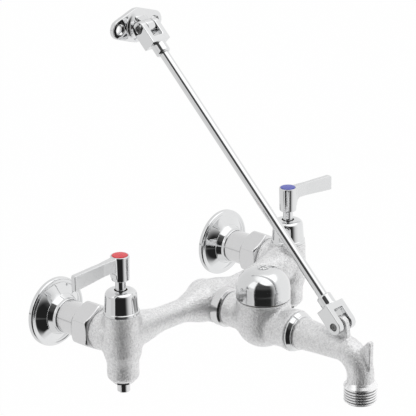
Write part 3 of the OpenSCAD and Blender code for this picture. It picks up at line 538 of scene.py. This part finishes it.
class FAUCET_OT_polished(bpy.types.Operator):
    """Make the polished chrome pieces"""

    bl_idname = "faucet.polished"
    bl_label = "Polished chrome"

    def execute(self, context):
        look = context.scene.faucet_metal
        f = Finish("polished_chrome")
        where = f.place()
        haze = f.spread(f.noise(where, 7 * MM, 3.0), 0.35, 0.7, 0.035, 0.075)
        sway = f.noise(where, 9 * MM, 1.0)
        colour = f.mix(f.noise(where, 20 * MM), tone([c * 0.97 for c in look.chrome]),
                       tone(look.chrome))
        normal = f.bump(sway, 0.35, 0.05 * MM)
        material = f.surface(base_color=colour, metallic=1.0, roughness=haze, normal=normal)
        dress(POLISHED, material)

        t = np.linspace(0, math.pi / 2, 33)
        sweep = np.stack([np.cos(t), np.sin(t)], 1).clip(0) ** 0.87
        outer = sweep * (22.1, 18.7) + (0, 24.5)
        inner = (sweep * (20.5, 17.4) + (0, 24.1))[::-1]
        dome = turned("dome_shell", np.concatenate([
            [[20.5, 18.1], [21.8, 18.1], [22.1, 18.4]], outer[outer[:, 0] > 5.9],
            [[5.2, 43.2], [5.2, 42.5], [2.2, 42.5], [2.2, 41.5]], inner[inner[:, 0] > 2.8]]),
            (0, -BREAKER_DEPTH, 0), (0, 0, 1), 0.4)
        f = Finish("dome_chrome")
        where = f.place()
        haze = f.spread(f.noise(where, 4 * MM, 3.0), 0.35, 0.7, 0.07, 0.14)
        stand_in(dome, f.surface(
            base_color=f.mix(f.noise(where, 20 * MM), tone([c * 0.95 for c in look.chrome]),
                             tone(look.chrome)),
            metallic=1.0, roughness=haze,
            normal=f.bump(f.noise(where, 7 * MM, 1.0), 0.4, 0.12 * MM)),
            "faucet", "polished", "breaker_dome")
        nut = turned("spout_nut_shell", [
            (13.3, 174), (16.1, 174), (16.4, 174.3), (16.4, 175.4), (16.2, 175.7), (14.8, 178.5),
            (14.3, 178.7), (14.3, 179), (14.6, 179.3), (14.4, 179.7), (13.9, 180.1), (12.9, 180.1),
            (12.9, 178.9), (13.3, 178.9)], (0, 0, -OUTLET_DROP), (0, -1, 0), 0.25)
        stand_in(nut, material, "faucet", "polished", "spout_nut")
        s = np.linspace(0, 1, 13)
        cove = np.stack([24.8 - 7.4 * s, 3.9 + 4.27 * s + 1.2 * s ** 2], 1)
        rim = [(26.6, 0), (28.9, 0), (29.2, 0.4), (29.2, 2.8), (28.8, 3.7), (28.1, 4.2), (27.3, 4.3),
               (26.5, 4.05), (25.6, 3.75)]
        neck = [(17.4, 9.8), (17.1, 10.1), (15, 14.5), (14.8, 16.5), (14.5, 17), (14.1, 17),
                (14.1, 10.4), (16.2, 8.6), (18, 6.6), (22.6, 3), (26.2, 2.1)]
        for side, x in zip(SIDES, (-VALVE_X, VALVE_X)):
            flange = turned(f"flange_{side}_shell", rim + cove.tolist() + neck,
                            (x, 0, 0), (0, -1, 0), 0.45)
            stand_in(flange, material, "faucet", "polished", f"flange_{side}")
            bonnet = turned(f"bonnet_{side}_shell", [
                (12.2, 20.2), (14.4, 20.2), (14.7, 20.6), (14.6, 22.5), (14.3, 22.9), (13.8, 23.1),
                (12.9, 35.9, 2), (12.4, 37.9, 2), (11, 39.4, 2), (9, 40.1, 2), (7.8, 40.3),
                (5.3, 40.3), (5.3, 35.5), (10.5, 35.5), (10.5, 22.4), (12.2, 22.4)],
                (x, -VALVE_DEPTH, 0), (0, 0, 1), 0.3)
            stand_in(bonnet, material, "faucet", "polished", f"bonnet_{side}")

        f = Finish("handle_chrome")
        where = f.place()
        x, y = f.split(where)[:2]
        away = ((x.math("ABSOLUTE") - VALVE_X * MM) ** 2.0 + (y + VALVE_DEPTH * MM) ** 2.0) ** 0.5
        haze = f.spread(f.noise(where, 3 * MM, 3.0), 0.3, 0.7, -0.02, 0.02)
        rough = f.spread(away, 8 * MM, 10 * MM, 0.05, 0.34) + haze
        lever_chrome = f.surface(
            base_color=f.mix(f.noise(where, 20 * MM), tone([c * 0.97 for c in look.chrome]),
                             tone(look.chrome)),
            metallic=1.0, roughness=rough,
            normal=f.bump(f.noise(where, 9 * MM, 1.0), 0.35, 0.05 * MM))

        def lever(x, y, z):
            """1 on the outside, 0 in the button's seat and the stem's socket."""
            return np.hypot(abs(x) - VALVE_X, y + VALVE_DEPTH) >= 6.9

        def fork(x, y, z):
            """1 all over, because a fork has no machined face that shows."""
            return np.ones_like(x)

        for name, body, cell, passes, loose in (
                ("handle_hot", "hot_handle", 0.4, 5, lever),
                ("handle_cold", "cold_handle", 0.4, 5, lever),
                ("lower_clevis", "brace", 0.4, 6, fork), ("upper_clevis", "brace", 0.4, 6, fork),
                ("wall_bracket", "bracket", 0.5, 6, fork)):
            finish = lever_chrome if name.startswith("handle") else material
            stand_in(softened(name, cell, passes, loose), finish, body, "polished", name)
        return {"FINISHED"}


class FAUCET_OT_turned(bpy.types.Operator):
    """Finish the turned satin pieces"""

    bl_idname = "faucet.turned"
    bl_label = "Turned pieces"

    def execute(self, context):
        look = context.scene.faucet_metal
        f = Finish("turned_satin")
        where = f.place()
        lines = f.noise(f.place((0.05, 1.0, 0.05)), 0.25 * MM, 2.0)
        haze = f.noise(where, 5 * MM, 2.0)
        colour = f.mix(lines, tone([c * 0.92 for c in look.turned]),
                       tone([c * 1.05 for c in look.turned]))
        rough = f.spread(lines * 0.5 + haze * 0.5, 0.3, 0.7, 0.10, 0.2)
        normal = f.bump(lines, 0.25, 0.02 * MM)
        material = f.surface(base_color=colour, metallic=1.0, roughness=rough, normal=normal)
        dress(TURNED, material)
        ring = turned("union_ring_shell", [
            (13.5, 93.4), (14.3, 93.4), (16.6, 94.8), (16.6, 102), (14.8, 103.5), (11.1, 103.5),
            (11.1, 101.2), (13.5, 101.2)], (0, 0, -OUTLET_DROP), (0, -1, 0), 0.25)
        stand_in(ring, material, "faucet", "turned", "union_ring")

        def nut(x, y, z):
            """1 on the outside, 0 in the bore that the coupling fills."""
            return np.hypot(abs(x) - VALVE_X, z) > 16

        for side in SIDES:
            name = f"coupling_nut_{side}"
            stand_in(softened(name, 0.45, 12, nut, 0.8), material, "faucet", "turned", name)

        # Painted shade: the pins are coloured near-black grey (0.16 to 0.26), standing in for the
        # shade on their recessed ends in the clevis holes.
        f = Finish("pin_steel_painted_shade")
        where = f.place()
        dull = f.noise(where, 1.5 * MM, 3.0)
        dress(PINS, f.surface(
            base_color=f.mix(dull, tone(0.16), tone(0.26)), metallic=1.0,
            roughness=f.spread(dull, 0.3, 0.7, 0.3, 0.45), normal=f.bump(dull, 0.2, 0.04 * MM)))
        return {"FINISHED"}


class FAUCET_OT_inner(bpy.types.Operator):
    """Finish the rubber, ceramic and brass pieces inside"""

    bl_idname = "faucet.inner"
    bl_label = "Inner pieces"

    def execute(self, context):
        f = Finish("black_rubber")
        fine = f.noise(f.place(), 0.8 * MM, 3.0)
        dress(RUBBER, f.surface(
            base_color=f.mix(fine, tone(0.016), tone(0.03)),
            roughness=f.spread(fine, 0.3, 0.7, 0.5, 0.7), normal=f.bump(fine, 0.2, 0.03 * MM)))
        f = Finish("white_ceramic")
        fine = f.noise(f.place(), 3 * MM, 3.0)
        dress(CERAMIC, f.surface(
            base_color=f.mix(fine, tone((0.82, 0.81, 0.77)), tone((0.90, 0.89, 0.86))),
            roughness=f.spread(fine, 0.3, 0.7, 0.12, 0.22)))
        f = Finish("plain_brass")
        fine = f.noise(f.place((1.0, 1.0, 0.1)), 0.5 * MM, 3.0)
        dress(BRASS, f.surface(
            base_color=f.mix(fine, tone((0.62, 0.42, 0.16)), tone((0.78, 0.57, 0.25))),
            metallic=1.0, roughness=f.spread(fine, 0.3, 0.7, 0.22, 0.34),
            normal=f.bump(fine, 0.2, 0.02 * MM)))
        return {"FINISHED"}


class FAUCET_OT_index(bpy.types.Operator):
    """Finish the two index buttons"""

    bl_idname = "faucet.index"
    bl_label = "Index buttons"

    def execute(self, context):
        look = context.scene.faucet_index
        for side, colour in (("hot", look.hot), ("cold", look.cold)):
            f = Finish(f"index_{side}")
            fine = f.noise(f.place(), 1.2 * MM, 2.0)
            dress([f"index_button_{side}"], f.surface(
                base_color=f.mix(fine, tone([c * 0.92 for c in colour]), tone(colour)),
                roughness=f.spread(fine, 0.3, 0.7, 0.22, 0.32),
                normal=f.bump(fine, 0.15, 0.02 * MM)))
        return {"FINISHED"}


class FAUCET_OT_stage(bpy.types.Operator):
    """Set the floor, the light and the camera"""

    bl_idname = "faucet.stage"
    bl_label = "Studio"

    def execute(self, context):
        scene = context.scene
        scene.view_settings.view_transform = "Standard"
        look = scene.faucet_camera
        back = Vector((math.sin(look.azimuth) * math.cos(look.elevation),
                       -math.cos(look.azimuth) * math.cos(look.elevation),
                       math.sin(look.elevation)))
        level = Vector((math.cos(look.azimuth), math.sin(look.azimuth), 0))
        upright = back.cross(level)
        right = math.cos(look.roll) * level + math.sin(look.roll) * upright
        up = -math.sin(look.roll) * level + math.cos(look.roll) * upright
        camera = bpy.data.objects.new("camera", bpy.data.cameras.new("camera"))
        scene.collection.objects.link(camera)
        turn = Matrix((right, up, back)).transposed().to_4x4()
        camera.matrix_world = Matrix.Translation(Vector(look.aim) + look.distance * back) @ turn
        camera.data.lens = look.lens
        camera.data.sensor_width = 36
        camera.data.clip_start = 0.05
        scene.camera = camera

        scene.world = bpy.data.worlds.new("studio")
        room(Graph(scene.world))
        floor()
        return {"FINISHED"}


class FAUCET_PT_sidebar(bpy.types.Panel):
    """Lists the faucet's operators and settings"""

    bl_idname = "FAUCET_PT_sidebar"
    bl_label = "Service sink faucet"
    bl_space_type = "VIEW_3D"
    bl_region_type = "UI"
    bl_category = "Faucet"

    def draw(self, context):
        for operator in OPERATORS:
            self.layout.operator(operator.bl_idname)
        for name, group in SETTINGS.items():
            column = self.layout.column(heading=group.__doc__)
            for key in group.__annotations__:
                column.prop(getattr(context.scene, name), key)


SETTINGS = {"faucet_camera": CameraLook, "faucet_metal": MetalLook, "faucet_index": IndexLook}
OPERATORS = [FAUCET_OT_castings, FAUCET_OT_thread, FAUCET_OT_polished, FAUCET_OT_turned,
             FAUCET_OT_inner, FAUCET_OT_index, FAUCET_OT_stage]


def register():
    for item in [*SETTINGS.values(), *OPERATORS, FAUCET_PT_sidebar]:
        bpy.utils.register_class(item)
    for name, group in SETTINGS.items():
        setattr(bpy.types.Scene, name, bpy.props.PointerProperty(type=group))


def unregister():
    for name in SETTINGS:
        delattr(bpy.types.Scene, name)
    for item in [FAUCET_PT_sidebar, *OPERATORS[::-1], *list(SETTINGS.values())[::-1]]:
        bpy.utils.unregister_class(item)


def main():
    register()
    for operator in OPERATORS:
        group, name = operator.bl_idname.split(".")
        getattr(getattr(bpy.ops, group), name)()


if __name__ == "__main__":
    main()
